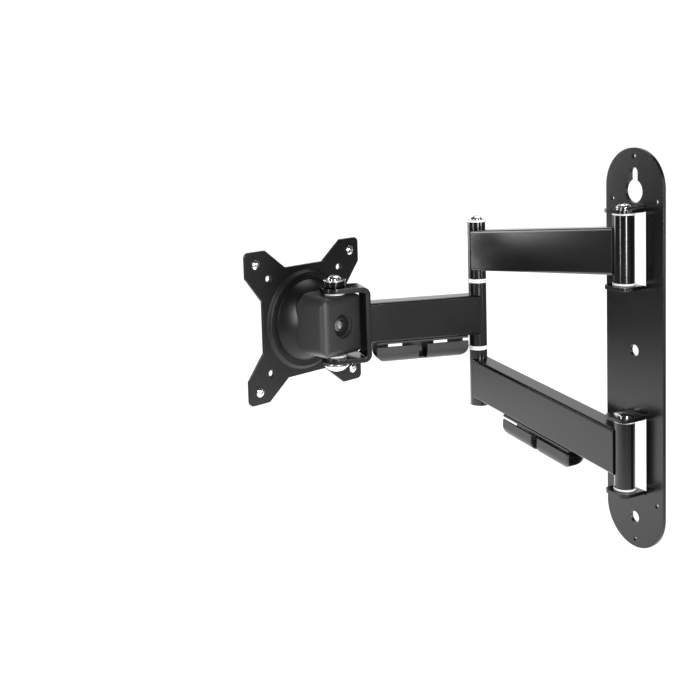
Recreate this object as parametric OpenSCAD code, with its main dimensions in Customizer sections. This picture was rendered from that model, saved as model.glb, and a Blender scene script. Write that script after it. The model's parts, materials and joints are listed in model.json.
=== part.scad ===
// Full motion wall mount for a small flat screen.
// The wall plate's back face lies in the plane Y = 0, the mount reaches out along -Y and Z is up.

/* [Wall plate] */
// Width of the round-ended wall plate
plate_w = 53; // [45:1:70]
// Height of the wall plate
plate_h = 275; // [250:1:320]
// Thickness of the plate sheet and of its bent tabs
plate_t = 2.5; // [2:0.1:3.5]
// Height of the upper clevis centre above the plate centre, mirrored below it
clevis_z = 70.4; // [62:0.2:80]
// Width of the bent clevis tabs
tab_w = 20; // [17:0.5:22]
// Reach of the tabs beyond the pivot axis
tab_nose = 10.6; // [9:0.2:14]
// Inner radius of the tab bend
bend_r = 0.8; // [0.5:0.1:2]
// Slit beside each tab
slit_w = 1; // [0.6:0.1:2]
// Diameter of the wall screw holes and width of the key slot
screw_hole_d = 8; // [6:0.5:9]
// Diameter of the round part of the key slot
key_d = 16; // [14:0.5:20]
// Diameter of the small holes for the plate cover
cover_hole_d = 3.4; // [2.5:0.1:4]

/* [Pivots] */
// Distance of the wall pivot axis from the wall
pivot_out = 11.5; // [11:0.1:16]
// Outer diameter of the pivot barrels
barrel_d = 14.2; // [13:0.2:15]
// Inner diameter of the pivot barrels
barrel_bore = 11; // [10:0.2:12]
// Length of the barrels on the inner arms
barrel_len = 45.8; // [42:0.2:50]
// Length of the barrel on the extension arm
mid_barrel_len = 51.5; // [44:0.5:56]
// Diameter of the pivot bolts
pivot_d = 8; // [6:0.5:9]
// Flange thickness of the nylon bushes
flange_t = 1.35; // [1:0.05:2]
// How far a bush flange stands out beyond the barrel, radially
flange_lip = 0.5; // [0:0.1:1]
// Length of a bush inside its barrel
bush_len = 12; // [6:0.5:18]

/* [Arms] */
// Distance between the wall pivot and the elbow
inner_len = 166.5; // [150:0.5:220]
// Distance between the elbow and the head pivot
ext_len = 118; // [112:0.5:170]
// Height of the rectangular arm tubes
tube_h = 32; // [28:0.5:36]
// Width of the arm tubes
tube_w = 16; // [15:0.2:17]
// Wall of the arm tubes
tube_t = 1.5; // [1.2:0.1:2.5]
// Outer corner radius of the arm tubes
tube_r = 2; // [1:0.2:3]

/* [Cable clips] */
// Length of a clip
clip_len = 76; // [60:1:80]
// Outer radius of the clip's trough
trough_r = 7.6; // [6.5:0.1:8]
// Wall of a clip
clip_t = 1.5; // [1.2:0.1:2]
// Height of the slot that cables are pressed through
clip_slot = 2.4; // [1.5:0.1:3]
// Width of the gap in the middle of the trough
clip_gap = 7; // [5:0.5:10]

/* [Head] */
// Height of the head block
block_h = 48; // [42:0.5:54]
// Width of the head block across its flat sides
block_w = 42; // [38:0.5:44]
// Distance of the block's rear face behind the head pivot
block_rear = 9.7; // [8:0.1:12]
// Thickness of the U bracket
bracket_t = 4; // [3:0.1:5]
// Width of the U bracket
bracket_w = 23; // [20:0.5:26]
// Diameter of the head pivot screws
head_screw_d = 8; // [6:0.5:9]
// Distance of the screen plate's rear surface from the head pivot
face_x = 34.6; // [33:0.1:38]
// Outer radius of the spherical dome
dome_r = 40; // [38:0.5:43]
// Distance of the dome's centre in front of the screen plate's rear surface
dome_deep = 20; // [18:0.2:22]
// Wall of the dome
dome_t = 2.8; // [2:0.1:3.5]
// Largest tilt up or down
tilt_max = 15; // [5:1:15]

/* [Screen plate] */
// Side length of the screen plate
vesa_side = 120; // [112:1:130]
// Large hole spacing
vesa_big = 100; // [100:0.5:100]
// Small hole spacing
vesa_small = 75; // [75:0.5:75]
// Thickness of the screen plate
vesa_t = 2.5; // [2:0.1:3]
// Height of the pressed-up centre
boss_h = 2.5; // [2.2:0.1:3]
// Diameter of the screen screws
vesa_screw_d = 4; // [3.5:0.1:4.5]
// Length of the screen screws beyond the plate
vesa_reach = 9.5; // [6:0.5:14]

/* [Pose] */
// Turn of the inner arms at the wall, 180 is along the wall
inner_turn = 180; // [180:1:360]
// Turn of the extension arm from straight
elbow_turn = 74.5; // [-90:0.5:165]
// Turn of the screen from straight ahead
head_turn = -60; // [-90:1:90]

/* [Hidden] */

$fn = 64;
eps = 0.01;                    // overshoot of a cutting shape
run_gap = 0.04;                // radial clearance of a running fit
slide_gap = 0.3;               // gap between faces that turn past each other
hole_gap = 0.3;                // radial clearance of a screw in a plain hole
steel_black = "#1b1b1d";
steel_bright = "#c9cbce";
nylon_white = "#f1f1ee";
plastic_black = "#141416";
cast_black = "#2a2b2e";

// Heights along the pivots
clevis_half = barrel_len / 2 + flange_t + slide_gap;
gap_h = 2 * flange_t + slide_gap;
mid_half = mid_barrel_len / 2;
elbow_z = mid_half + gap_h + barrel_len / 2;
stack_half = mid_half + gap_h + barrel_len + flange_t;
shank_r = pivot_d / 2 - run_gap;
thread_r = pivot_d / 4;
tab_reach = pivot_out + tab_nose;
arm_drop = 1.2;                // arm centre below the barrel centre at the wall
wall_z = clevis_z - arm_drop;
slope = atan((wall_z - elbow_z) / inner_len);
tube_end = 3;                  // tube end short of the pivot axis

// Heads of the pivot hardware
wide_head_d = 13.8;
wide_head_h = 2.2;
dome_head_d = 10.4;
dome_head_h = 3.6;
hex_af = 5;
screw_len = 14;

// Wall plate holes
key_z = plate_h / 2 - 29;
key_slot_d = 7;
key_slot_len = 12.5;
low_hole_z = 21 - plate_h / 2;
cover_end = 5.5;               // cover holes from the plate's ends
cover_side_z = plate_h / 2 - 35;
cover_side_x = plate_w / 2 - 6;

// Cable clips
trough_in = trough_r - clip_t;
clip_deep = 2 * trough_r + clip_t;
clip_end_r = 9;
clip_screw_d = 3;
clip_screw_x = clip_len / 2 - 8;
clip_mid_inner = inner_len / 2 + 2;
clip_mid_ext = 49;
window_len = 12;

// Head
seat_gap = 0.3;
block_r = 9;                   // rounding seen from the rear
block_edge_r = 6;              // rounding of the rear face's rim
washer_h = 1.4;
thrust_d = 16;
tab_in = block_h / 2 + washer_h + slide_gap;
tab_out = tab_in + bracket_t;
corner_reach = norm([block_rear - block_edge_r, block_w / 2 - block_edge_r]) + block_edge_r;
web_in = max(corner_reach, block_w / 2) + 0.6;
web_out = web_in + bracket_t;
bracket_bend = 2.2;
spacer_h = 4.4;
spacer_d = 17.4;
big_washer_d = 17.8;
big_washer_h = 1.2;
button_d = 20;
button_h = 7.2;
head_thread_len = 12;
access_d = 19.6;
access_deep = 3.2;
well_d = 16.8;
clamp_d = 6;
clamp_head_d = 10;
clamp_head_h = 6;
clamp_sink = 5;                // bolt head below the block's rear face
spring_t = 0.9;
spring_n = 3;
spring_cone = 0.35;            // hollow of one disc spring
spring_play = 0.6;
seat_r = 24.5;                 // rim radius of the block's hollow seat
cup_t = 2.4;
cup_r = 18;
nut_af = 10;
nut_h = 5;
well_floor = -block_rear + clamp_sink + clamp_head_h + spring_n * spring_t;

// Dome and screen plate, measured in front of the screen plate's rear surface
dome_in = dome_r - dome_t;
rim_h = 0.8;                   // dome rim thickness
rim_top = -boss_h - 0.1 - rim_h;
rim_r = sqrt(pow(dome_r, 2) - pow(dome_deep - rim_top, 2)) + 1.2;
spigot_r = rim_r - 2.6;
spigot_wall = 3.2;
roll_washer_t = 0.8;
ring_t = 1.3;
washer_x = 0.1;
ring_x = washer_x + roll_washer_t + 0.05;
ring_r = spigot_r + 3.4;
boss_r = ring_r + 3.4;
pocket_r = boss_r - 2.2;
ring_screw_r = 1;
ring_screw_len = 3.4;
ring_screw_at = spigot_r - spigot_wall / 2;
apex_x = dome_deep - dome_r;
nut_x = apex_x + dome_t + seat_gap + cup_t;
tilt_run = dome_r * sin(tilt_max);
waist = 44.3;                  // half width of the screen plate between its lobes
waist_len = 20;
lobe_len = 20;
lobe_flare = 1.3;              // extra lobe length at the outer edge
neck_cut = 0.8;                // screen screw's neck is this much thinner inside the plate
pan_d = 7.6;
pan_h = 2.4;

// Places
module on_inner() {
    translate([0, -pivot_out, 0]) rotate([0, 0, inner_turn]) children();
}
module on_extension() {
    on_inner() translate([inner_len, 0, 0]) rotate([0, 0, elbow_turn]) children();
}
module on_head() {
    on_extension() translate([ext_len, 0, 0]) rotate([0, 0, head_turn]) children();
}
module on_face() {
    on_head() translate([face_x, 0, 0]) children();
}
module upper_and_lower() {
    for (s = [0, 1]) mirror([0, 0, s]) children();
}

// Shared shapes
module along_x(r, len, x0 = 0) {
    translate([x0, 0, 0]) rotate([0, 90, 0]) cylinder(r = r, h = len);
}
module rounded_rect(w, h, r) {
    square([w - 2 * r, h], center = true);
    square([w, h - 2 * r], center = true);
    for (x = [-1, 1], y = [-1, 1]) translate([x * (w / 2 - r), y * (h / 2 - r)]) circle(r = r);
}
module pipe(r_out, r_in, len) {
    difference() {
        cylinder(r = r_out, h = len);
        translate([0, 0, -eps]) cylinder(r = r_in, h = len + 2 * eps);
    }
}
// A low dome with its flat side on Z = 0
module dome_cap(d, h) {
    ball_r = (pow(d / 2, 2) + h * h) / (2 * h);
    intersection() {
        translate([0, 0, h - ball_r]) sphere(r = ball_r, $fn = 96);
        cylinder(d = d, h = h);
    }
}
module hex_recess(af, deep) {
    cylinder(d = af / cos(30), h = deep, $fn = 6);
}
// A dome-headed socket screw standing on Z = 0 with its thread below
module socket_screw(head_d, head_h, shank_d, shank_len, af) {
    rim = head_h * 0.3;
    difference() {
        union() {
            cylinder(d = head_d, h = rim);
            translate([0, 0, rim]) dome_cap(head_d, head_h - rim);
            translate([0, 0, -shank_len]) cylinder(d = shank_d, h = shank_len + eps);
        }
        translate([0, 0, head_h * 0.35]) hex_recess(af, head_h);
    }
}
module barrel(len) {
    translate([0, 0, -len / 2]) pipe(barrel_d / 2, barrel_bore / 2, len);
}
// A flanged bush: its flange stands on the barrel's end face at Z = 0
module bush() {
    difference() {
        union() {
            cylinder(r = barrel_d / 2 + flange_lip, h = flange_t);
            translate([0, 0, -bush_len]) cylinder(d = barrel_bore, h = bush_len + eps);
        }
        translate([0, 0, -bush_len - eps]) cylinder(d = pivot_d, h = bush_len + flange_t + 2 * eps);
    }
}
module bush_pair(len) {
    for (s = [0, 1]) mirror([0, 0, s]) translate([0, 0, len / 2]) bush();
}

// Wall plate
module plate_outline() {
    straight = plate_h - plate_w;
    square([plate_w, straight], center = true);
    for (s = [-1, 1]) translate([0, s * straight / 2]) circle(d = plate_w, $fn = 128);
}
module plate_holes() {
    translate([0, key_z]) circle(d = key_d);
    translate([-key_slot_d / 2, key_z]) square([key_slot_d, key_slot_len]);
    translate([0, key_z + key_slot_len]) circle(d = key_slot_d);
    circle(d = screw_hole_d);
    translate([0, low_hole_z]) circle(d = screw_hole_d);
    for (s = [-1, 1]) {
        translate([0, s * (plate_h / 2 - cover_end)]) circle(d = cover_hole_d, $fn = 24);
        for (x = [-1, 1]) translate([x * cover_side_x, s * cover_side_z]) circle(d = cover_hole_d, $fn = 24);
    }
    window_h = 2 * (clevis_half + plate_t + bend_r);
    for (s = [-1, 1])
        translate([0, s * clevis_z]) rounded_rect(tab_w + 2 * slit_w, window_h, slit_w / 2);
}
// One bent tab, its upper face at Z = 0 and its bend starting at the plate's front face
module clevis_tab() {
    nose_r = 5;
    flat = tab_reach - plate_t - bend_r;
    difference() {
        union() {
            translate([-tab_w / 2, -tab_reach + nose_r, -plate_t]) cube([tab_w, flat - nose_r, plate_t]);
            translate([-tab_w / 2 + nose_r, -tab_reach, -plate_t]) cube([tab_w - 2 * nose_r, flat, plate_t]);
            for (x = [-1, 1]) translate([x * (tab_w / 2 - nose_r), -tab_reach + nose_r, -plate_t])
                cylinder(r = nose_r, h = plate_t);
            intersection() {
                translate([-tab_w / 2, -plate_t - bend_r, bend_r]) rotate([0, 90, 0])
                    pipe(plate_t + bend_r, bend_r, tab_w);
                translate([-tab_w / 2, -plate_t - bend_r, -plate_t]) cube([tab_w, plate_t + bend_r, plate_t + bend_r]);
            }
        }
        translate([0, -pivot_out, -plate_t - eps]) cylinder(d = pivot_d, h = plate_t + 2 * eps);
    }
}
module wall_plate() {
    color(steel_black) union() {
        rotate([90, 0, 0]) linear_extrude(plate_t) difference() {
            plate_outline();
            plate_holes();
        }
        for (s = [-1, 1]) translate([0, 0, s * clevis_z]) upper_and_lower()
            translate([0, 0, clevis_half + plate_t]) clevis_tab();
    }
}

// Sleeve bolt of a wall pivot: wide flat head on the inner tab, tapped from the other end
module sleeve_bolt() {
    len = 2 * (clevis_half + plate_t);
    difference() {
        union() {
            cylinder(r = shank_r, h = len);
            mirror([0, 0, 1]) {
                cylinder(d = wide_head_d, h = wide_head_h * 0.4);
                translate([0, 0, wide_head_h * 0.4]) dome_cap(wide_head_d, wide_head_h * 0.6);
            }
        }
        translate([0, 0, len - screw_len]) cylinder(r = thread_r, h = screw_len + eps);
    }
}
module pivot_screw() {
    socket_screw(dome_head_d, dome_head_h, 2 * thread_r, screw_len - 1, hex_af);
}
// The upper pivot's wide head is below, the lower pivot is its mirror image
module at_clevis() {
    translate([0, -pivot_out, clevis_z - clevis_half - plate_t]) children();
}
module upper_pivot_bolt() {
    color(steel_bright) at_clevis() sleeve_bolt();
}
module upper_pivot_screw() {
    color(steel_bright) at_clevis() translate([0, 0, 2 * (clevis_half + plate_t)]) pivot_screw();
}
module lower_pivot_bolt() {
    color(steel_bright) mirror([0, 0, 1]) at_clevis() sleeve_bolt();
}
module lower_pivot_screw() {
    color(steel_bright) mirror([0, 0, 1]) at_clevis()
        translate([0, 0, 2 * (clevis_half + plate_t)]) pivot_screw();
}

// A rectangular tube lying along X between two ends
module arm_tube(x0, x1) {
    translate([x0, 0, 0]) rotate([90, 0, 90]) linear_extrude(x1 - x0) difference() {
        rounded_rect(tube_w, tube_h, tube_r);
        rounded_rect(tube_w - 2 * tube_t, tube_h - 2 * tube_t, max(tube_r - tube_t, 0.3));
    }
}
// The upper inner arm's tube falls from the wall to the elbow and is notched around both barrels
module inner_tube() {
    skew = tube_h;
    difference() {
        translate([0, 0, wall_z]) rotate([0, slope, 0]) arm_tube(-skew, inner_len + skew);
        translate([-2 * skew, -tube_w, -plate_h]) cube([2 * skew + tube_end, 2 * tube_w, 2 * plate_h]);
        translate([inner_len - tube_end, -tube_w, -plate_h]) cube([3 * skew, 2 * tube_w, 2 * plate_h]);
        for (x = [0, inner_len]) translate([x, 0, -plate_h]) cylinder(d = barrel_d, h = 2 * plate_h);
    }
}
module upper_arm_tube() {
    color(steel_black) on_inner() inner_tube();
}
module lower_arm_tube() {
    color(steel_black) on_inner() difference() {
        mirror([0, 0, 1]) inner_tube();
        under_inner_arm() clip_screw_holes();
    }
}
module upper_wall_barrel() {
    color(steel_black) on_inner() translate([0, 0, clevis_z]) barrel(barrel_len);
}
module lower_wall_barrel() {
    color(steel_black) on_inner() translate([0, 0, -clevis_z]) barrel(barrel_len);
}
module upper_elbow_barrel() {
    color(steel_black) on_inner() translate([inner_len, 0, elbow_z]) barrel(barrel_len);
}
module lower_elbow_barrel() {
    color(steel_black) on_inner() translate([inner_len, 0, -elbow_z]) barrel(barrel_len);
}
module wall_bushes() {
    color(nylon_white) on_inner() for (s = [-1, 1]) translate([0, 0, s * clevis_z]) bush_pair(barrel_len);
}
module elbow_bushes() {
    color(nylon_white) on_inner() for (s = [-1, 1])
        translate([inner_len, 0, s * elbow_z]) bush_pair(barrel_len);
}
module elbow_shaft() {
    color(steel_bright) on_inner() translate([inner_len, 0, 0]) difference() {
        translate([0, 0, -stack_half]) cylinder(r = shank_r, h = 2 * stack_half);
        upper_and_lower() translate([0, 0, stack_half - screw_len])
            cylinder(r = thread_r, h = screw_len + eps);
    }
}
module elbow_cap_screws() {
    color(steel_bright) on_inner() translate([inner_len, 0, 0]) upper_and_lower()
        translate([0, 0, stack_half]) pivot_screw();
}

// Cable clip: its flat base lies on Z = 0, the trough hangs below and opens on the +Y side
module clip_profile() {
    rise = trough_r + clip_t;
    difference() {
        union() {
            translate([-trough_r, -clip_t]) square([2 * trough_r, clip_t]);
            translate([-trough_r, -rise]) square([2 * trough_r, rise - clip_t / 2]);
        }
        translate([-trough_in, -rise]) square([2 * trough_in, rise - clip_t]);
        translate([0, -clip_t - clip_slot]) square([trough_r + 1, clip_slot]);
    }
    translate([0, -rise]) difference() {
        circle(r = trough_r);
        circle(r = trough_in);
        translate([-trough_r - 1, 0]) square([2 * trough_r + 2, trough_r + 1]);
    }
}
module cable_clip() {
    difference() {
        intersection() {
            translate([-clip_len / 2, 0, 0]) rotate([90, 0, 90]) linear_extrude(clip_len) clip_profile();
            rotate([90, 0, 0]) translate([0, 0, -trough_r - 1]) linear_extrude(2 * trough_r + 2) union() {
                translate([-clip_len / 2, -clip_deep + clip_end_r]) square([clip_len, clip_deep - clip_end_r]);
                translate([-clip_len / 2 + clip_end_r, -clip_deep])
                    square([clip_len - 2 * clip_end_r, clip_end_r + eps]);
                for (s = [-1, 1]) translate([s * (clip_len / 2 - clip_end_r), -clip_deep + clip_end_r])
                    circle(r = clip_end_r);
            }
        }
        translate([-clip_gap / 2, 0, -clip_deep - 1])
            cube([clip_gap, trough_r + 1, clip_deep - clip_t + 1]);
        for (s = [-1, 1]) translate([s * clip_len / 4 - window_len / 2, -trough_r - 1, -trough_r - clip_t])
            cube([window_len, trough_r, trough_r - clip_slot]);
        clip_screw_holes();
    }
}
module clip_screw_holes() {
    for (s = [-1, 1]) translate([s * clip_screw_x, 0, -clip_t - 1])
        cylinder(d = clip_screw_d, h = clip_t + tube_t + 1.5);
}
module clip_screws() {
    for (s = [-1, 1]) translate([s * clip_screw_x, 0, -clip_t]) mirror([0, 0, 1])
        socket_screw(2 * clip_screw_d, 1.6, clip_screw_d, clip_t + tube_t + 0.4, 2);
}
module under_inner_arm() {
    translate([clip_mid_inner, 0, -wall_z + clip_mid_inner * tan(slope)]) rotate([0, -slope, 0])
        translate([0, 0, -tube_h / 2]) children();
}
module under_extension() {
    translate([clip_mid_ext, 0, -tube_h / 2]) children();
}
module lower_cable_clip() {
    color(plastic_black) on_inner() under_inner_arm() cable_clip();
}
module lower_clip_screws() {
    color(steel_bright) on_inner() under_inner_arm() clip_screws();
}
module extension_cable_clip() {
    color(plastic_black) on_extension() under_extension() cable_clip();
}
module extension_clip_screws() {
    color(steel_bright) on_extension() under_extension() clip_screws();
}

// Extension arm
module extension_tube() {
    color(steel_black) on_extension() difference() {
        arm_tube(0, ext_len - web_out);
        translate([0, 0, -tube_h]) cylinder(d = barrel_d, h = 2 * tube_h);
        under_extension() clip_screw_holes();
    }
}
module extension_barrel() {
    color(steel_black) on_extension() barrel(mid_barrel_len);
}
module extension_bushes() {
    color(nylon_white) on_extension() bush_pair(mid_barrel_len);
}
// Half of the bracket's side view: web, bend and upper tab
module bracket_side() {
    bend_out = bracket_bend + bracket_t;
    translate([-web_out, -eps]) square([bracket_t, tab_out - bend_out + eps]);
    translate([-web_out + bend_out, tab_in]) square([web_out - bend_out + bracket_w, bracket_t]);
    translate([-web_out + bend_out, tab_out - bend_out]) intersection() {
        difference() {
            circle(r = bend_out);
            circle(r = bracket_bend);
        }
        translate([-bend_out, 0]) square(bend_out);
    }
}
module u_bracket() {
    color(steel_black) on_extension() translate([ext_len, 0, 0]) difference() {
        intersection() {
            rotate([90, 0, 0]) translate([0, 0, -bracket_w / 2]) linear_extrude(bracket_w) union() {
                bracket_side();
                mirror([0, 1]) bracket_side();
            }
            union() {
                translate([0, 0, -tab_out]) cylinder(d = bracket_w, h = 2 * tab_out);
                translate([-web_out, -bracket_w / 2, -tab_out]) cube([web_out, bracket_w, 2 * tab_out]);
            }
        }
        translate([0, 0, -tab_out - eps]) cylinder(d = head_screw_d, h = 2 * tab_out + 2 * eps);
    }
}

// Head block
module block_body() {
    front = face_x - dome_deep + 30;
    intersection() {
        translate([-block_rear, 0, 0]) rotate([90, 0, 90]) linear_extrude(front)
            rounded_rect(block_w, block_h, block_r);
        translate([0, 0, -block_h]) linear_extrude(2 * block_h)
            translate([-block_rear + front, 0]) rounded_rect(2 * front, block_w, block_edge_r);
        rotate([90, 0, 0]) translate([0, 0, -block_w]) linear_extrude(2 * block_w)
            translate([-block_rear + front, 0]) rounded_rect(2 * front, block_h, block_edge_r);
        seat_limit();
    }
}
// Cone that trims the block back around its hollow seat so that the plate can tilt
module seat_limit() {
    seat_x = face_x + dome_deep - sqrt(pow(dome_r, 2) - pow(seat_r, 2));
    behind = seat_x + block_rear + 1;
    translate([seat_x, 0, 0]) rotate([0, -90, 0]) cylinder(r1 = seat_r, r2 = seat_r + behind, h = behind);
}
module head_block() {
    color(cast_black) on_head() difference() {
        block_body();
        translate([face_x + dome_deep, 0, 0]) sphere(r = dome_r + seat_gap, $fn = 160);
        along_x(access_d / 2, access_deep + 1, -block_rear - 1);
        along_x(well_d / 2, well_floor + block_rear, -block_rear);
        along_x(clamp_d / 2 + hole_gap, face_x, -block_rear);
        upper_and_lower() translate([0, 0, block_h / 2 - head_thread_len])
            cylinder(r = head_screw_d / 2 - run_gap, h = head_thread_len + 1);
    }
}
module head_top_screw() {
    above = tab_out + slide_gap + spacer_h + big_washer_h;
    color(steel_bright) on_head() translate([0, 0, above])
        socket_screw(dome_head_d, dome_head_h, head_screw_d - 2 * run_gap,
            above - block_h / 2 + head_thread_len, hex_af);
}
module head_top_washer() {
    color(steel_bright) on_head() translate([0, 0, tab_out + slide_gap + spacer_h])
        pipe(big_washer_d / 2, head_screw_d / 2 - run_gap, big_washer_h);
}
module head_spacer_ring() {
    color(plastic_black) on_head() translate([0, 0, tab_out + slide_gap])
        pipe(spacer_d / 2, head_screw_d / 2 - run_gap, spacer_h);
}
module head_bottom_screw() {
    below = tab_out + slide_gap;
    color(steel_bright) on_head() mirror([0, 0, 1]) translate([0, 0, below])
        socket_screw(button_d, button_h, head_screw_d - 2 * run_gap,
            below - block_h / 2 + head_thread_len, hex_af + 1);
}
module head_thrust_washers() {
    color(nylon_white) on_head() upper_and_lower() translate([0, 0, block_h / 2])
        pipe(thrust_d / 2, head_screw_d / 2 - run_gap, washer_h);
}
module clamp_bolt() {
    head_x = -block_rear + clamp_sink;
    end_x = face_x + apex_x + dome_t + cup_t + nut_h + 2;
    color(steel_bright) on_head() difference() {
        union() {
            along_x(clamp_head_d / 2, clamp_head_h, head_x);
            along_x(clamp_d / 2, end_x - head_x, head_x);
        }
        translate([head_x - eps, 0, 0]) rotate([0, 90, 0]) hex_recess(hex_af, clamp_head_h * 0.6);
    }
}
module clamp_disc_springs() {
    color(steel_bright) on_head() for (i = [0 : spring_n - 1])
        translate([well_floor - (i + 1) * spring_t, 0, 0]) rotate([0, 90, 0]) difference() {
            cylinder(r1 = clamp_head_d / 2 + spring_play, r2 = well_d / 2 - spring_play, h = spring_t - 0.1);
            translate([0, 0, -eps]) cylinder(d = clamp_d, h = spring_t);
            translate([0, 0, spring_t - 0.1 - spring_cone])
                cylinder(r1 = clamp_d / 2, r2 = well_d / 2 - 2, h = spring_cone + eps);
        }
}
module clamp_cup_washer() {
    color(steel_bright) on_face() difference() {
        intersection() {
            translate([dome_deep, 0, 0]) sphere(r = dome_in - seat_gap, $fn = 96);
            along_x(cup_r, dome_deep, apex_x);
        }
        translate([dome_deep, 0, 0]) sphere(r = dome_in - seat_gap - cup_t, $fn = 96);
        along_x(clamp_d / 2, dome_r, apex_x);
        along_x(nut_af / 2 + 1.2, dome_r, nut_x);
    }
}
module clamp_nut() {
    color(steel_bright) on_face() translate([nut_x, 0, 0]) rotate([0, 90, 0]) difference() {
        cylinder(d = nut_af / cos(30), h = nut_h, $fn = 6);
        translate([0, 0, -1]) cylinder(d = clamp_d, h = nut_h + 2);
    }
}

// Dome: a spherical shell on a turned rim whose spigot runs in the screen plate
module tilt_dome() {
    slot_r = clamp_d / 2 + hole_gap;
    spigot_len = ring_x - rim_top;
    color(cast_black) on_face() difference() {
        union() {
            intersection() {
                translate([dome_deep, 0, 0]) sphere(r = dome_r, $fn = 160);
                along_x(dome_r, rim_top - apex_x + rim_h, apex_x);
            }
            along_x(rim_r, rim_h, rim_top);
            along_x(spigot_r, spigot_len, rim_top);
        }
        intersection() {
            translate([dome_deep, 0, 0]) sphere(r = dome_in, $fn = 160);
            along_x(dome_r, rim_top - apex_x, apex_x);
        }
        along_x(spigot_r - spigot_wall, spigot_len + 1, rim_top - eps);
        for (z = [-tilt_run, tilt_run]) translate([0, 0, z]) along_x(slot_r, dome_deep, apex_x - 1);
        translate([apex_x - 1, -slot_r, -tilt_run]) cube([dome_deep, 2 * slot_r, 2 * tilt_run]);
        ring_screw_places() along_x(ring_screw_r, ring_screw_len + 1, -ring_screw_len);
    }
}
module ring_screw_places() {
    for (a = [45 : 90 : 315]) rotate([a, 0, 0])
        translate([ring_x + ring_t, 0, ring_screw_at]) children();
}
module dome_retaining_ring() {
    color(steel_bright) on_face() difference() {
        along_x(ring_r, ring_t, ring_x);
        along_x(spigot_r - spigot_wall, ring_t + 2, ring_x - 1);
        ring_screw_places() along_x(ring_screw_r, 6, -3);
        ring_screw_places() translate([-ring_screw_r, 0, 0]) rotate([0, 90, 0])
            cylinder(r1 = ring_screw_r, r2 = 2 * ring_screw_r + eps, h = ring_screw_r + eps);
    }
}
module dome_ring_screws() {
    color(steel_bright) on_face() ring_screw_places() union() {
        along_x(ring_screw_r, ring_screw_len, -ring_screw_len);
        translate([-ring_screw_r, 0, 0]) rotate([0, 90, 0])
            cylinder(r1 = ring_screw_r, r2 = 2 * ring_screw_r, h = ring_screw_r);
    }
}
module screen_plate_washer() {
    color(nylon_white) on_face() difference() {
        along_x(ring_r, roll_washer_t, washer_x);
        along_x(spigot_r + slide_gap, roll_washer_t + 2, washer_x - 1);
    }
}

// Screen plate
module vesa_outline() {
    half = vesa_side / 2;
    difference() {
        rounded_rect(vesa_side, vesa_side, 4);
        for (a = [0 : 90 : 270]) rotate(a) polygon([[waist, -waist_len], [waist, waist_len],
            [half + 1, half - lobe_len + lobe_flare], [half + 1, lobe_len - half - lobe_flare]]);
    }
}
module at_corners(pitch) {
    for (y = [-1, 1], z = [-1, 1]) translate([0, y * pitch / 2, z * pitch / 2]) children();
}
module screen_plate() {
    color(steel_black) on_face() difference() {
        union() {
            rotate([90, 0, 90]) linear_extrude(vesa_t) vesa_outline();
            translate([-boss_h, 0, 0]) rotate([0, 90, 0])
                cylinder(r1 = boss_r, r2 = boss_r + boss_h, h = boss_h);
        }
        along_x(spigot_r + run_gap, boss_h + vesa_t + 2, -boss_h - 1);
        along_x(pocket_r, vesa_t + 1, 0);
        at_corners(vesa_big) along_x(vesa_screw_d / 2 + hole_gap, vesa_t + 2, -1);
        at_corners(vesa_small) {
            along_x(vesa_screw_d / 2 + hole_gap, vesa_t + 2, -1);
            translate([-eps, 0, 0]) rotate([0, 90, 0])
                cylinder(r1 = vesa_screw_d / 2 + 1.2, r2 = vesa_screw_d / 2, h = 1.2);
        }
    }
}
module screen_screw() {
    rotate([0, -90, 0]) difference() {
        union() {
            cylinder(d = pan_d, h = pan_h * 0.35);
            translate([0, 0, pan_h * 0.35]) dome_cap(pan_d, pan_h * 0.65);
            translate([0, 0, -vesa_t - eps]) cylinder(d = vesa_screw_d - neck_cut, h = vesa_t + 2 * eps);
            translate([0, 0, -vesa_t - vesa_reach]) cylinder(d = vesa_screw_d, h = vesa_reach);
        }
        for (a = [0, 90]) rotate([0, 0, a]) translate([-pan_d / 4, -0.5, pan_h * 0.3])
            cube([pan_d / 2, 1, pan_h]);
    }
}
module screen_screws() {
    color(steel_bright) on_face() at_corners(vesa_big) screen_screw();
}

wall_plate();
upper_pivot_bolt();
upper_pivot_screw();
lower_pivot_bolt();
lower_pivot_screw();
upper_arm_tube();
upper_wall_barrel();
upper_elbow_barrel();
lower_arm_tube();
lower_wall_barrel();
lower_elbow_barrel();
wall_bushes();
elbow_bushes();
elbow_shaft();
elbow_cap_screws();
lower_cable_clip();
lower_clip_screws();
extension_tube();
extension_barrel();
extension_bushes();
extension_cable_clip();
extension_clip_screws();
u_bracket();
head_block();
head_top_screw();
head_top_washer();
head_spacer_ring();
head_bottom_screw();
head_thrust_washers();
clamp_bolt();
clamp_disc_springs();
clamp_cup_washer();
clamp_nut();
tilt_dome();
dome_retaining_ring();
dome_ring_screws();
screen_plate();
screen_plate_washer();
screen_screws();
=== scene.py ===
import json
import math
import bpy
import bmesh
from mathutils import Matrix, Vector


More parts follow.
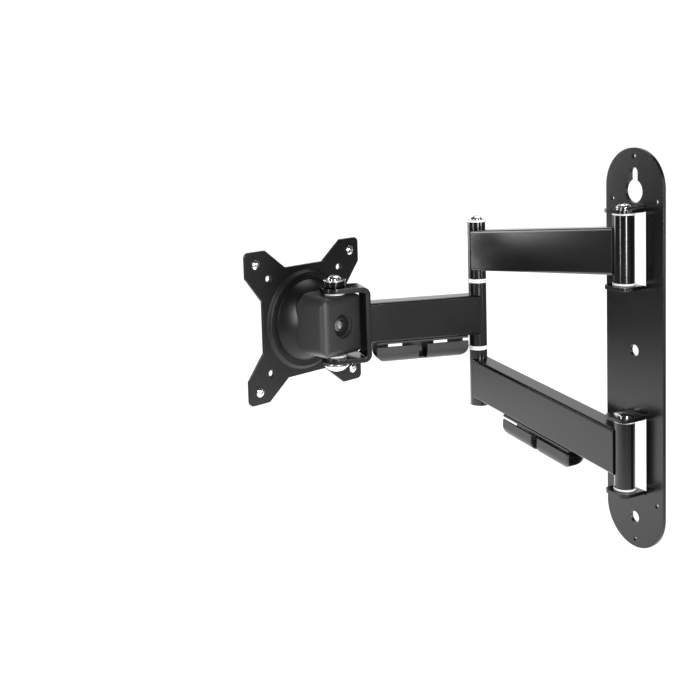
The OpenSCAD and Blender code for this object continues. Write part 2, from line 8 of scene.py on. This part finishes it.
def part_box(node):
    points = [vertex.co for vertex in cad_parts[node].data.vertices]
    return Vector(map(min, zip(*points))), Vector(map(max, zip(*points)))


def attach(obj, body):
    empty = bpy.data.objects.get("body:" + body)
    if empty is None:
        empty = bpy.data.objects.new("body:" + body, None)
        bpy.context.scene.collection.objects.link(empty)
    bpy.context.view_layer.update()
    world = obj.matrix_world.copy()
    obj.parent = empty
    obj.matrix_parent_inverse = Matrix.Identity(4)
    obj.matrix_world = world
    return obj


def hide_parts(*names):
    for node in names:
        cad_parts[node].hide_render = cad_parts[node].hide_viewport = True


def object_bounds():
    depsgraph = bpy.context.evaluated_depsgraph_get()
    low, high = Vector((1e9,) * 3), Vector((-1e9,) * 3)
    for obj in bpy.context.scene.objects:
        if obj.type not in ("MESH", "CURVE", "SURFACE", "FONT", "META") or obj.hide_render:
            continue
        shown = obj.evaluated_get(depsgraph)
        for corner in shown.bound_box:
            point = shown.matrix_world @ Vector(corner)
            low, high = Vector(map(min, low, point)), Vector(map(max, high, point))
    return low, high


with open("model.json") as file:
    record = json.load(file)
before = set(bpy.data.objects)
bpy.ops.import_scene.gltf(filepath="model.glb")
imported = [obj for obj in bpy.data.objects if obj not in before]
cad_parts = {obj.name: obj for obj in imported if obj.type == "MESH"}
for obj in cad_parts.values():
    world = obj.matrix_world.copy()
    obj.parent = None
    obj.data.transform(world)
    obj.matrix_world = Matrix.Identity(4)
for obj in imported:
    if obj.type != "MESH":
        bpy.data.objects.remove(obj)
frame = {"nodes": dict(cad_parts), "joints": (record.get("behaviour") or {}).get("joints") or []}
cadBox = [list(corner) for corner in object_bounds()]
nodes = frame["nodes"]
joints = {joint["name"]: joint for joint in frame["joints"]}

# the head's own axes: out of the screen plate, sideways and up, from the joints
headPivot = Vector(joints["head_swivel"]["pos_m"])
outward = Vector(joints["screen_roll"]["axis"]).normalized()
upward = Vector((0, 0, 1))
sideways = upward.cross(outward)


def axesAt(place, xAxis, yAxis, zAxis):     # matrix that puts a piece's own axes into the frame
    turned = Matrix((xAxis, yAxis, zAxis)).transposed().to_4x4()
    return Matrix.Translation(place) @ turned


# small helpers around the edit mode operators
def pickNothing():
    if bpy.context.object and bpy.context.object.mode == "EDIT":
        bpy.ops.object.mode_set(mode="OBJECT")
    bpy.ops.object.select_all(action="DESELECT")


def pickOnly(piece):
    pickNothing()
    piece.select_set(True)
    bpy.context.view_layer.objects.active = piece


def pickParts(piece, kind, test):           # kind is FACE or EDGE, test gets a bmesh face or edge
    bpy.ops.object.mode_set(mode="EDIT")
    bpy.ops.mesh.select_mode(type=kind)
    bpy.ops.mesh.select_all(action="DESELECT")
    shape = bmesh.from_edit_mesh(piece.data)
    for part in (shape.faces if kind == "FACE" else shape.edges):
        if test(part):
            part.select_set(True)
    shape.select_flush_mode()
    bmesh.update_edit_mesh(piece.data)


def cutWith(piece, cutter):
    pickOnly(piece)
    step = piece.modifiers.new("cut", "BOOLEAN")
    step.operation = "DIFFERENCE"
    step.solver = "EXACT"
    step.object = cutter
    bpy.ops.object.modifier_apply(modifier=step.name)
    pickOnly(cutter)
    bpy.ops.object.delete()


def softenEdges(piece, width, segments, angle=32):
    pickOnly(piece)
    step = piece.modifiers.new("edges", "BEVEL")
    step.width = width
    step.segments = segments
    step.limit_method = "ANGLE"
    step.angle_limit = math.radians(angle)
    step.harden_normals = False
    bpy.ops.object.modifier_apply(modifier=step.name)


def finishPiece(piece, place, body, paint, replaced=(), smooth=35):
    pickOnly(piece)
    bpy.ops.object.mode_set(mode="EDIT")
    bpy.ops.mesh.select_all(action="SELECT")
    bpy.ops.mesh.remove_doubles(threshold=1e-6)
    bpy.ops.mesh.normals_make_consistent(inside=False)
    bpy.ops.object.mode_set(mode="OBJECT")
    bpy.ops.object.shade_smooth_by_angle(angle=math.radians(smooth))
    level = piece.modifiers.new("level", "WEIGHTED_NORMAL")        # keeps the flats flat beside their rounds
    level.mode = "FACE_AREA"
    level.weight = 100
    level.keep_sharp = True
    bpy.ops.object.modifier_apply(modifier=level.name)
    piece.matrix_world = place @ piece.matrix_world
    bpy.context.view_layer.update()
    bpy.ops.object.transform_apply(location=True, rotation=True, scale=True)
    piece.data.materials.clear()
    piece.data.materials.append(paint)
    if replaced:
        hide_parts(*replaced)
    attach(piece, body)
    return piece


# shader maths: a socket that Python arithmetic can use, and one maker for every other node
class Wire:
    def __init__(self, tree, out=None):
        self.tree = tree
        self.out = out

    def make(self, kind, settings=None, sockets=None, out=0):
        node = self.tree.nodes.new(kind)
        for name, value in (settings or {}).items():
            if name == "stops":
                ramp = node.color_ramp
                while len(ramp.elements) < len(value):
                    ramp.elements.new(0.5)
                for element, (place, shade) in zip(ramp.elements, value):
                    element.position = place
                    element.color = (shade, shade, shade, 1)
            else:
                setattr(node, name, value)
        for name, value in (sockets or {}).items():
            if isinstance(value, Wire):
                self.tree.links.new(value.out, node.inputs[name])
            else:
                node.inputs[name].default_value = value
        return Wire(self.tree, node.outputs[out])

    def sum(self, operation, first, second):
        return self.make("ShaderNodeMath", {"operation": operation}, {0: first, 1: second})

    def __add__(self, other):
        return self.sum("ADD", self, other)

    def __radd__(self, other):
        return self.sum("ADD", other, self)

    def __sub__(self, other):
        return self.sum("SUBTRACT", self, other)

    def __rsub__(self, other):
        return self.sum("SUBTRACT", other, self)

    def __mul__(self, other):
        return self.sum("MULTIPLY", self, other)

    def __rmul__(self, other):
        return self.sum("MULTIPLY", other, self)


def band(mask, low, high):                  # 0 below low, 1 above high, soft between
    return mask.make("ShaderNodeMapRange", {"interpolation_type": "SMOOTHSTEP", "clamp": True},
                     {"Value": mask, "From Min": low, "From Max": high, "To Min": 0.0, "To Max": 1.0})


def grain(start, scale, detail=2.0, rough=0.5, stretch=None):
    where = start.make("ShaderNodeTexCoord", out="Object")
    if stretch:
        where = start.make("ShaderNodeMapping", {}, {"Vector": where, "Scale": stretch})
    return start.make("ShaderNodeTexNoise", {}, {"Vector": where, "Scale": scale, "Detail": detail,
                                                 "Roughness": rough}, out="Fac")


def newMaterial(name):
    made = bpy.data.materials.new(name)
    made.use_nodes = True
    tree = made.node_tree
    for node in list(tree.nodes):
        tree.nodes.remove(node)
    return made, Wire(tree)


def closeMaterial(start, sockets):
    shader = start.make("ShaderNodeBsdfPrincipled", {}, sockets, out="BSDF")
    output = start.tree.nodes.new("ShaderNodeOutputMaterial")
    start.tree.links.new(shader.out, output.inputs["Surface"])


def roundedNormal(start, radius, height, strength, distance):   # soft edges, then the surface's own texture
    edge = start.make("ShaderNodeBevel", {"samples": 6}, {"Radius": radius}, out="Normal")
    return start.make("ShaderNodeBump", {}, {"Height": height, "Strength": strength, "Distance": distance,
                                             "Normal": edge}, out="Normal")


def edgeMask(start, radius):                # 1 on sharp edges, 0 on flats
    edge = start.make("ShaderNodeBevel", {"samples": 6}, {"Radius": radius}, out="Normal")
    flat = start.make("ShaderNodeNewGeometry", out="Normal")
    same = start.make("ShaderNodeVectorMath", {"operation": "DOT_PRODUCT"}, {0: edge, 1: flat}, out="Value")
    return band(1 - same, 0.02, 0.16)


def mixColour(start, mask, first, second):
    return start.make("ShaderNodeMix", {"data_type": "RGBA"}, {"Factor": mask, 6: first, 7: second}, out=2)


# powder coat: tone is the black, gloss the mean roughness, peel the height of the fine skin
def powderCoat(name, sizes):
    made, start = newMaterial(name)
    cloud = grain(start, 14, 3)
    skin = grain(start, sizes["skinScale"], 3, 0.6)
    speck = band(grain(start, sizes["skinScale"] * 0.45, 1), 0.56, 0.72)
    worn = edgeMask(start, sizes["edge"]) * band(grain(start, 240, 4), 0.44, 0.62)
    tone = sizes["tone"]
    darker = (tone * 0.82, tone * 0.82, tone * 0.85, 1)
    lighter = (tone * 1.25, tone * 1.25, tone * 1.3, 1)
    body = mixColour(start, cloud, darker, lighter)
    body = mixColour(start, worn * 0.35, body, (0.055, 0.055, 0.058, 1))
    gloss = sizes["gloss"] + (cloud - 0.5) * 0.10 + (skin - 0.5) * 0.08 + worn * 0.08
    height = skin + speck * sizes["speck"]
    closeMaterial(start, {"Base Color": body, "Roughness": gloss, "IOR": sizes["ior"],
                          "Normal": roundedNormal(start, sizes["edge"], height, sizes["peel"], 0.0002)})
    return made


# bright plated steel with turned or drawn fine lines and faint stains
def platedSteel(name, sizes):
    made, start = newMaterial(name)
    cloud = grain(start, 160, 3)
    lines = grain(start, 900, 2, 0.6, (1, 1, 6))
    stain = band(grain(start, 420, 4, 0.65), 0.48, 0.74)
    body = mixColour(start, stain * 0.5, sizes["clean"], sizes["dull"])
    gloss = sizes["gloss"] + (cloud - 0.5) * 0.10 + stain * 0.10 + (lines - 0.5) * 0.06
    closeMaterial(start, {"Base Color": body, "Metallic": 1.0, "Roughness": gloss,
                          "Normal": roundedNormal(start, sizes["edge"], lines, 0.12, 0.0001)})
    return made


# moulded plastic: fine spark texture, slight colour drift, scuffs that catch light
def mouldedPlastic(name, sizes):
    made, start = newMaterial(name)
    cloud = grain(start, 45, 3)
    skin = grain(start, sizes["skinScale"], 2, 0.6)
    scuff = band(grain(start, 320, 5, 0.7, (1, 1, 5)), 0.60, 0.72)
    body = mixColour(start, cloud, sizes["dark"], sizes["light"])
    gloss = sizes["gloss"] + (cloud - 0.5) * 0.08 + scuff * 0.10 + (skin - 0.5) * 0.05
    closeMaterial(start, {"Base Color": body, "Roughness": gloss, "Subsurface Weight": sizes["through"],
                          "Subsurface Scale": 0.002, "Subsurface Radius": (1, 1, 1), "IOR": 1.5,
                          "Normal": roundedNormal(start, sizes["edge"], skin, sizes["peel"], 0.0001)})
    return made


tubePaint = {"tone": 0.003, "gloss": 0.21, "skinScale": 1500, "peel": 0.07, "speck": 0.15,
             "edge": 0.0005, "ior": 1.5}
platePaint = {"tone": 0.003, "gloss": 0.23, "skinScale": 1700, "peel": 0.09, "speck": 0.20,
              "edge": 0.0003, "ior": 1.5}
barrelPaint = {"tone": 0.004, "gloss": 0.17, "skinScale": 1300, "peel": 0.04, "speck": 0.10,
               "edge": 0.0003, "ior": 1.55}
# the head block shares the dome's cast finish; its tone, ten times the dome's, is painted light, a lit copy
# of that coat standing in for light on the block's faces
blockPaintLitCopy = {"tone": 0.030, "gloss": 0.40, "skinScale": 900, "peel": 0.22, "speck": 0.40,
              "edge": 0.0006, "ior": 1.5}
domePaint = {"tone": 0.003, "gloss": 0.34, "skinScale": 900, "peel": 0.10, "speck": 0.30,
             "edge": 0.0005, "ior": 1.34}
screenPlatePaint = {"tone": 0.004, "gloss": 0.36, "skinScale": 1100, "peel": 0.26, "speck": 0.60,
                    "edge": 0.0003, "ior": 1.40}
brightScrew = {"clean": (0.80, 0.81, 0.83, 1), "dull": (0.56, 0.57, 0.58, 1), "gloss": 0.16, "edge": 0.0003}
dullScrew = {"clean": (0.62, 0.62, 0.63, 1), "dull": (0.40, 0.40, 0.41, 1), "gloss": 0.30, "edge": 0.0002}
whiteNylon = {"dark": (0.80, 0.80, 0.78, 1), "light": (0.90, 0.90, 0.885, 1), "gloss": 0.40, "through": 0.15,
              "skinScale": 2200, "peel": 0.12, "edge": 0.0004}
blackPlastic = {"dark": (0.010, 0.010, 0.011, 1), "light": (0.016, 0.016, 0.018, 1), "gloss": 0.42,
                "through": 0.0, "skinScale": 1600, "peel": 0.25, "edge": 0.0004}

tubeCoat = powderCoat("tubeCoat", tubePaint)
plateCoat = powderCoat("plateCoat", platePaint)
barrelCoat = powderCoat("barrelCoat", barrelPaint)
blockCoatLitCopy = powderCoat("blockCoatLitCopy", blockPaintLitCopy)
domeCoat = powderCoat("domeCoat", domePaint)
screenPlateCoat = powderCoat("screenPlateCoat", screenPlatePaint)
screwSteel = platedSteel("screwSteel", brightScrew)
innerSteel = platedSteel("innerSteel", dullScrew)
nylon = mouldedPlastic("nylon", whiteNylon)
clipPlastic = mouldedPlastic("clipPlastic", blackPlastic)
print("materials made")

coats = {
    tubeCoat: ["upper_arm_tube", "lower_arm_tube", "extension_tube", "u_bracket"],
    plateCoat: ["wall_plate"],
    barrelCoat: ["upper_wall_barrel", "lower_wall_barrel", "upper_elbow_barrel", "lower_elbow_barrel",
                 "extension_barrel"],
    # the head block gets the lit copy of the cast coat, its lighter tone painted light
    blockCoatLitCopy: ["head_block"],
    domeCoat: ["tilt_dome"],
    screenPlateCoat: ["screen_plate"],
    screwSteel: ["upper_pivot_bolt", "lower_pivot_bolt", "upper_pivot_screw", "lower_pivot_screw",
                 "elbow_cap_screws", "head_top_screw", "head_top_washer", "head_bottom_screw",
                 "screen_screws", "clamp_bolt"],
    innerSteel: ["elbow_shaft", "lower_clip_screws", "extension_clip_screws", "clamp_disc_springs",
                 "clamp_cup_washer", "clamp_nut", "dome_retaining_ring", "dome_ring_screws"],
    nylon: ["wall_bushes", "elbow_bushes", "extension_bushes", "head_thrust_washers", "screen_plate_washer"],
    clipPlastic: ["lower_cable_clip", "extension_cable_clip", "head_spacer_ring"],
}
for paint, names in coats.items():
    for name in names:
        nodes[name].data.materials.clear()
        nodes[name].data.materials.append(paint)
print("frame parts painted")


# frame parts whose cut edges are rounded over, as punched, cast or moulded edges are
def softened(nodeName, body, slotName, paint, width, segments, angle=35):
    pickNothing()
    piece = nodes[nodeName].copy()
    piece.data = nodes[nodeName].data.copy()
    piece.name = nodeName + "_soft"
    bpy.context.scene.collection.objects.link(piece)
    piece.hide_render = False
    for key in list(piece.keys()):
        if key.startswith("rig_"):
            del piece[key]
    pickOnly(piece)
    bpy.ops.object.mode_set(mode="EDIT")
    bpy.ops.mesh.select_all(action="SELECT")
    bpy.ops.mesh.remove_doubles(threshold=2e-6)
    bpy.ops.mesh.dissolve_limited(angle_limit=math.radians(0.6))
    bpy.ops.object.mode_set(mode="OBJECT")
    softenEdges(piece, width, segments, angle)
    return finishPiece(piece, Matrix.Identity(4), body, paint, (nodeName,))


softEdges = {
    "wall_plate": ("wall_mount", "black_powder_coat", plateCoat, 0.00035, 2),
    "upper_arm_tube": ("inner_arms", "black_powder_coat", tubeCoat, 0.00030, 2),
    "lower_arm_tube": ("inner_arms", "black_powder_coat", tubeCoat, 0.00030, 2),
    "extension_tube": ("extension_arm", "black_powder_coat", tubeCoat, 0.00030, 2),
    "upper_wall_barrel": ("inner_arms", "black_powder_coat", barrelCoat, 0.00035, 2),
    "lower_wall_barrel": ("inner_arms", "black_powder_coat", barrelCoat, 0.00035, 2),
    "upper_elbow_barrel": ("inner_arms", "black_powder_coat", barrelCoat, 0.00035, 2),
    "lower_elbow_barrel": ("inner_arms", "black_powder_coat", barrelCoat, 0.00035, 2),
    "extension_barrel": ("extension_arm", "black_powder_coat", barrelCoat, 0.00035, 2),
    "u_bracket": ("extension_arm", "black_powder_coat", tubeCoat, 0.00050, 3),
    "screen_plate": ("screen_carrier", "textured_black", screenPlateCoat, 0.00035, 2),
    "lower_cable_clip": ("inner_arms", "black_plastic", clipPlastic, 0.00030, 2),
    "extension_cable_clip": ("extension_arm", "black_plastic", clipPlastic, 0.00030, 2),
    "head_top_washer": ("head", "bright_steel", screwSteel, 0.00030, 2),
}
for name, facts in softEdges.items():
    softened(name, *facts)
print("edges rounded over")


# turned pieces: a profile of (radius, height) points walked by extruding, then spun round Z
def turned(name, profile, steps=96):
    pickNothing()
    bpy.ops.mesh.primitive_plane_add(size=0.001)
    piece = bpy.context.object
    piece.name = name
    bpy.ops.object.mode_set(mode="EDIT")
    bpy.ops.mesh.select_all(action="SELECT")
    bpy.ops.mesh.merge(type="CENTER")
    radius, height = profile[0]
    bpy.ops.transform.translate(value=(radius, 0, height))
    for newRadius, newHeight in profile[1:] + profile[:1]:
        bpy.ops.mesh.extrude_region_move(
            TRANSFORM_OT_translate={"value": (newRadius - radius, 0, newHeight - height)})
        radius, height = newRadius, newHeight
    bpy.ops.mesh.select_all(action="SELECT")
    bpy.ops.mesh.spin(steps=steps, angle=2 * math.pi, center=(0, 0, 0), axis=(0, 0, 1))
    bpy.ops.mesh.select_all(action="SELECT")
    bpy.ops.mesh.remove_doubles(threshold=1e-6)
    bpy.ops.object.mode_set(mode="OBJECT")
    return piece


def nodeSpan(nodeName):                     # a node's lowest and highest height
    low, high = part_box(nodeName)
    return low[2], high[2]


spacerRing = {"outer": 0.0087, "inner": 0.0040, "groove": 0.0006, "soft": 0.0004}
low, high = nodeSpan("head_spacer_ring")
full, core, soft = spacerRing["outer"], spacerRing["inner"], spacerRing["soft"]
tall = high - low
cut = full - spacerRing["groove"]
ring = turned("head_spacer_collar", [
    (core, 0), (full - soft, 0), (full, soft), (full, tall * 0.28), (cut, tall * 0.32), (cut, tall * 0.38),
    (full, tall * 0.42), (full, tall * 0.62), (cut, tall * 0.66), (cut, tall * 0.72), (full, tall * 0.76),
    (full, tall - soft), (full - soft, tall), (core, tall)])
softenEdges(ring, 0.00012, 1, 30)
finishPiece(ring, Matrix.Translation((headPivot.x, headPivot.y, low)), "head", barrelCoat,
            ("head_spacer_ring",))
print("turned pieces made")


# dome-headed socket screws: base of the head on Z = 0, thread below
def domeScrew(name, sizes):
    pickNothing()
    rim = sizes["high"] * 0.26
    wide = sizes["wide"] / 2
    bpy.ops.mesh.primitive_cylinder_add(vertices=96, radius=wide, depth=rim, location=(0, 0, rim / 2))
    piece = bpy.context.object
    piece.name = name
    bpy.ops.object.transform_apply(location=True, rotation=True, scale=True)
    rise = sizes["high"] - rim
    ball = (wide * wide + rise * rise) / (2 * rise)
    rings = [wide * share for share in (0.985, 0.95, 0.89, 0.81, 0.71, 0.60, 0.48, 0.36)]
    pickParts(piece, "FACE", lambda face: face.normal.z > 0.9)
    last, lastHigh = wide, 0.0
    for ring in rings:
        high = math.sqrt(ball * ball - ring * ring) - (ball - rise)
        bpy.ops.mesh.inset(thickness=last - ring, depth=0)
        bpy.ops.transform.translate(value=(0, 0, high - lastHigh))
        last, lastHigh = ring, high
    pickParts(piece, "FACE", lambda face: face.normal.z < -0.9)        # seat, then the shank
    bpy.ops.mesh.inset(thickness=wide - sizes["shank"] / 2, depth=0)
    bpy.ops.mesh.extrude_region_move(TRANSFORM_OT_translate={"value": (0, 0, -sizes["long"] + 0.0006)})
    bpy.ops.mesh.inset(thickness=0.0005, depth=0)
    bpy.ops.transform.translate(value=(0, 0, -0.0006))
    bpy.ops.object.mode_set(mode="OBJECT")
    pickNothing()
    socketDeep = sizes["high"] * 0.62
    bpy.ops.mesh.primitive_cylinder_add(vertices=6, radius=sizes["key"] / math.sqrt(3),
                                        depth=2 * sizes["high"],
                                        location=(0, 0, 2 * sizes["high"] - socketDeep))
    key = bpy.context.object
    pickParts(key, "FACE", lambda face: face.normal.z < -0.9)          # drilled cone under the hexagon
    bpy.ops.mesh.inset(thickness=0.0003, depth=0)
    bpy.ops.mesh.extrude_region_move(TRANSFORM_OT_translate={"value": (0, 0, -0.0005)})
    bpy.ops.transform.resize(value=(0.2, 0.2, 1))
    bpy.ops.object.mode_set(mode="OBJECT")
    cutWith(piece, key)
    softenEdges(piece, sizes["soft"], 2, 40)
    return piece


domeHead = {"wide": 0.0104, "high": 0.0036, "key": 0.005, "shank": 0.0074, "long": 0.013, "soft": 0.00016}
buttonHead = {"wide": 0.020, "high": 0.0072, "key": 0.006, "shank": 0.0074, "long": 0.018, "soft": 0.00022}
washerHead = dict(domeHead, long=0.0236)
capHead = dict(domeHead, shank=0.0060)
wallPivot = Vector(joints["wall_swivel"]["pos_m"])
elbowPivot = Vector(joints["elbow_swivel"]["pos_m"])
eastward, northward = Vector((1, 0, 0)), Vector((0, 1, 0))


def headSeat(nodeName, shape, above):       # where a head's seat lies, worked back from the node's own box
    low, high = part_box(nodeName)
    recessLost = shape["ball"] - math.sqrt(shape["ball"] ** 2 - shape["corner"] ** 2)
    return (high[2] - shape["high"] + recessLost) if above else (low[2] + shape["high"] - recessLost)


for shape in (domeHead, buttonHead, washerHead, capHead):
    rise = shape["high"] * 0.7
    shape["ball"] = ((shape["wide"] / 2) ** 2 + rise * rise) / (2 * rise)
    shape["corner"] = shape["key"] / 2

screwPlaces = [     # name, shape, pivot line, above or below, body, replaced node
    ("upper_pivot_screw_head", domeHead, wallPivot, True, "wall_mount", ["upper_pivot_screw"]),
    ("lower_pivot_screw_head", domeHead, wallPivot, False, "wall_mount", ["lower_pivot_screw"]),
    ("elbow_cap_screw_upper", capHead, elbowPivot, True, "inner_arms", ["elbow_cap_screws"]),
    ("elbow_cap_screw_lower", capHead, elbowPivot, False, "inner_arms", ["elbow_cap_screws"]),
    ("head_top_screw_head", washerHead, headPivot, True, "head", ["head_top_screw"]),
    ("head_bottom_button", buttonHead, headPivot, False, "head", ["head_bottom_screw"]),
]
for name, shape, pivot, above, body, replaced in screwPlaces:
    screw = domeScrew(name, shape)
    up = upward if above else -upward
    seat = Vector((pivot.x, pivot.y, headSeat(replaced[0], shape, above)))
    place = axesAt(seat, eastward, up.cross(eastward), up)
    finishPiece(screw, place, body, screwSteel, replaced, 30)
print("socket screws made")

# floor under the mount: white to the camera, a dim pool of light to the black coat
floorPlan = {"drop": 0.004, "halfX": 1.3, "halfY": 1.25, "middle": (-0.15, 0.0),
             "pool": (-0.22, -0.08, 0), "near": 0.15, "far": 0.55, "white": 0.98, "lit": 1.8, "dim": 0.06}
pickNothing()
bpy.ops.mesh.primitive_plane_add(size=1, location=(*floorPlan["middle"], cadBox[0][2] - floorPlan["drop"]))
floor = bpy.context.object
floor.name = "floor"
floor.scale = (2 * floorPlan["halfX"], 2 * floorPlan["halfY"], 1)
bpy.ops.object.transform_apply(location=True, rotation=True, scale=True)
floorPaint, floorStart = newMaterial("floorPaint")
spot = floorStart.make("ShaderNodeTexCoord", out="Object")
spread = floorStart.make("ShaderNodeVectorMath", {"operation": "DISTANCE"}, {0: spot, 1: floorPlan["pool"]},
                         out="Value")
pool = 1 - band(spread, floorPlan["near"], floorPlan["far"])       # light pooled under the mount
straight = floorStart.make("ShaderNodeLightPath", out="Is Camera Ray")
floorGlow = straight * floorPlan["white"] + (1 - straight) * (pool * floorPlan["lit"] + floorPlan["dim"])
closeMaterial(floorStart, {"Base Color": (0.14, 0.14, 0.14, 1), "Roughness": 0.8,
                           "Emission Color": (1, 1, 1, 1), "Emission Strength": floorGlow})
floor.data.materials.append(floorPaint)

# camera
view = {"place": (0.5358, -0.5195, 0.1746), "heading": 60.79, "pitch": 5.5, "roll": 1.61,
        "lens": 55.64, "shift": -0.209}
heading, pitch, roll = (math.radians(view[key]) for key in ("heading", "pitch", "roll"))
level = Vector((-math.sin(heading), math.cos(heading), 0))
right = Vector((math.cos(heading), math.sin(heading), 0))
ahead = level * math.cos(pitch) - upward * math.sin(pitch)
above = upward * math.cos(pitch) + level * math.sin(pitch)
cameraData = bpy.data.cameras.new("camera")
cameraData.lens = view["lens"]
cameraData.sensor_width = 36
cameraData.shift_y = view["shift"]
cameraData.clip_start = 0.01
camera = bpy.data.objects.new("camera", cameraData)
bpy.context.scene.collection.objects.link(camera)
camera.matrix_world = axesAt(Vector(view["place"]),
                             right * math.cos(roll) - above * math.sin(roll),
                             right * math.sin(roll) + above * math.cos(roll), -ahead)
bpy.context.scene.camera = camera

# studio lights
lights = [
    {"name": "rightStrip", "place": (1.52, -0.45, 0.25), "aim": (0.0, 0.0, 0.0),
     "size": (0.20, 1.3), "power": 34},
    {"name": "frontStrip", "place": (0.25, -1.75, 0.25), "aim": (-0.05, 0.0, 0.0),
     "size": (0.16, 1.3), "power": 12},
    {"name": "leftBox", "place": (-1.21, -0.61, 0.26), "aim": (-0.15, -0.05, 0.2),
     "size": (0.5, 0.98), "power": 10},
    {"name": "cornerBox", "place": (-1.25, -1.30, 0.66), "aim": (0.0, 0.0, 0.1),
     "size": (0.8, 1.1), "power": 3.2},
    {"name": "edgeStrip", "place": (1.25, 0.80, 0.10), "aim": (0.0, 0.0, 0.0),
     "size": (0.12, 1.2), "power": 16},
    {"name": "topBox", "place": (-0.5, 0.5, 1.5), "aim": (-0.1, -0.1, 0.0),
     "size": (1.0, 1.0), "power": 12},
]
for lamp in lights:
    data = bpy.data.lights.new(lamp["name"], "AREA")
    data.shape = "RECTANGLE"
    data.size, data.size_y = lamp["size"]
    data.energy = lamp["power"]
    lampObject = bpy.data.objects.new(lamp["name"], data)
    bpy.context.scene.collection.objects.link(lampObject)
    lampObject.location = lamp["place"]
    beam = Vector(lamp["aim"]) - Vector(lamp["place"])
    lampObject.rotation_euler = beam.to_track_quat("-Z", "Y").to_euler()

# surroundings: dim, brighter towards one side
skyGlow = {"side": (-0.80, 0.55, 0.22), "from": 0.70, "to": 0.97, "bright": 1.1, "dim": 0.08, "white": 1.05}
world = bpy.data.worlds.new("studio")
bpy.context.scene.world = world
world.use_nodes = True
for node in list(world.node_tree.nodes):
    world.node_tree.nodes.remove(node)
sky = Wire(world.node_tree)
towards = sky.make("ShaderNodeTexCoord", out="Generated")
behind = sky.make("ShaderNodeVectorMath", {"operation": "DOT_PRODUCT"}, {0: towards, 1: skyGlow["side"]},
                  out="Value")
glow = band(behind, skyGlow["from"], skyGlow["to"]) * skyGlow["bright"] + skyGlow["dim"]
seen = sky.make("ShaderNodeLightPath", out="Is Camera Ray")
strength = glow * (1 - seen) + seen * skyGlow["white"]
backdrop = sky.make("ShaderNodeBackground", {}, {"Color": (1, 1, 1, 1), "Strength": strength},
                    out="Background")
worldOut = world.node_tree.nodes.new("ShaderNodeOutputWorld")
world.node_tree.links.new(backdrop.out, worldOut.inputs["Surface"])
bpy.context.scene.view_settings.view_transform = "Standard"
print("floor, camera and light placed")
